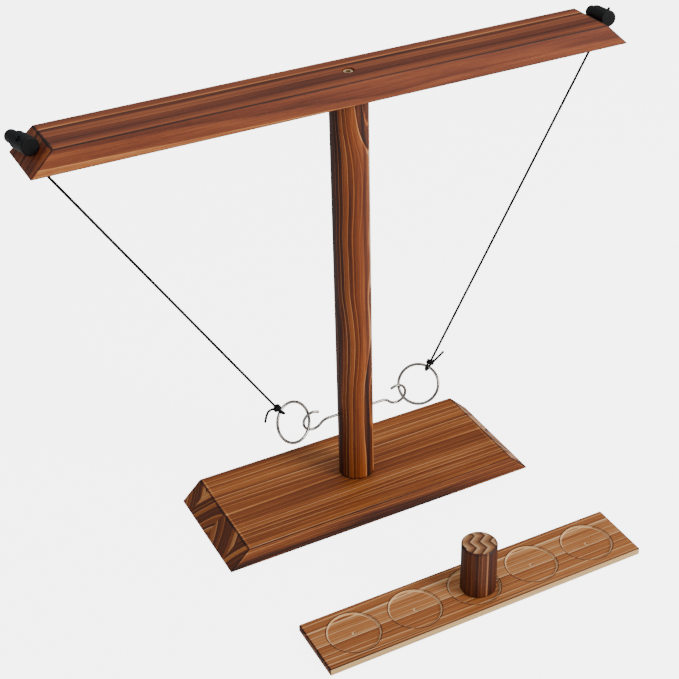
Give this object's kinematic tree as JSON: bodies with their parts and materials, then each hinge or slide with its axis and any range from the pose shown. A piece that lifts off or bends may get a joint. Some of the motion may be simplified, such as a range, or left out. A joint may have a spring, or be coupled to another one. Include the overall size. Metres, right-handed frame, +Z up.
{
  "type": "ring toss set",
  "caption": "Tabletop hook-and-ring toss: timber stand with crossbar, rings on cords, wire hooks on the post, and a score ladder with a peg.",
  "frame": {"origin": "on the table, under the middle of the post, in the plane of the base's underside", "axes": "+Z up, +X along the crossbar to the player's right, +Y away from the player"},
  "size_m": [0.5167, 0.2592, 0.4153],
  "materials": {
    "base_wood": "charred and oiled pine, satin",
    "post_wood": "charred and oiled pine, satin",
    "crossbar_wood": "charred and oiled pine, satin",
    "ladder_wood": "charred and oiled pine, satin",
    "peg_wood": "charred and oiled pine, satin",
    "brass": "turned, bright",
    "ring_steel": "drawn wire, nickel plated",
    "hook_steel": "drawn wire, nickel plated",
    "spring_steel": "drawn spring wire",
    "lock_plastic": "moulded, fine satin",
    "cord_black": "braided nylon"
  },
  "bodies": {
    "stand": {"base_block": "base_wood", "base_insert": "brass", "cord_top_left": "cord_black", "cord_top_right": "cord_black", "crossbar": "crossbar_wood", "crossbar_screw": "brass", "hook_left": "hook_steel", "hook_right": "hook_steel", "lock_barrel_left": "lock_plastic", "lock_barrel_right": "lock_plastic", "lock_spring_left": "spring_steel", "lock_spring_right": "spring_steel", "post": "post_wood", "post_insert": "brass", "post_stud": "brass"},
    "ladder": {"ladder_board": "ladder_wood"},
    "peg": {"marker_peg": "peg_wood"},
    "swinging_cord_left": {"cord_left": "cord_black", "ring_knot_left": "cord_black"},
    "ring_left": {"ring_left": "ring_steel", "ring_loop_left": "cord_black"},
    "plunger_left": {"lock_plunger_left": "lock_plastic"},
    "swinging_cord_right": {"cord_right": "cord_black", "ring_knot_right": "cord_black"},
    "ring_right": {"ring_right": "ring_steel", "ring_loop_right": "cord_black"},
    "plunger_right": {"lock_plunger_right": "lock_plastic"}
  },
  "joints": [
    {"name": "cord_swing_left", "type": "hinge", "parent": "stand", "child": "swinging_cord_left", "pos_m": [-0.2534, 0, 0.391], "axis": [0, 1, 0], "range_deg": [0, 78]},
    {"name": "ring_turn_left", "type": "hinge", "parent": "swinging_cord_left", "child": "ring_left", "pos_m": [-0.07623, -0.00007, 0.11374], "axis": [0.309, -0.8678, 0.3891], "range_deg": [0, 20]},
    {"name": "plunger_press_left", "type": "slide", "parent": "stand", "child": "plunger_left", "axis": [0.1376, -0.9823, 0.1272], "range_m": [0, 0.003], "stiffness_N_per_m": 900, "springref_m": -0.002, "deforming": ["lock_spring_left"]},
    {"name": "cord_swing_right", "type": "hinge", "parent": "stand", "child": "swinging_cord_right", "pos_m": [0.2366, 0, 0.391], "axis": [0, -1, 0], "range_deg": [0, 78]},
    {"name": "ring_turn_right", "type": "hinge", "parent": "swinging_cord_right", "child": "ring_right", "pos_m": [0.07768, 0.00015, 0.11155], "axis": [0.4288, 0.6455, -0.632], "range_deg": [0, 20]},
    {"name": "plunger_press_right", "type": "slide", "parent": "stand", "child": "plunger_right", "axis": [-0.1161, -0.9874, 0.1074], "range_m": [0, 0.003], "stiffness_N_per_m": 900, "springref_m": -0.002, "deforming": ["lock_spring_right"]},
    {"name": "ladder_slide", "type": "slide", "parent": "stand", "child": "ladder", "axis": [1, 0, 0], "range_m": [-0.12, 0.12]},
    {"name": "peg_lift", "type": "slide", "parent": "ladder", "child": "peg", "axis": [0, 0, 1], "range_m": [0, 0.06]}
  ]
}
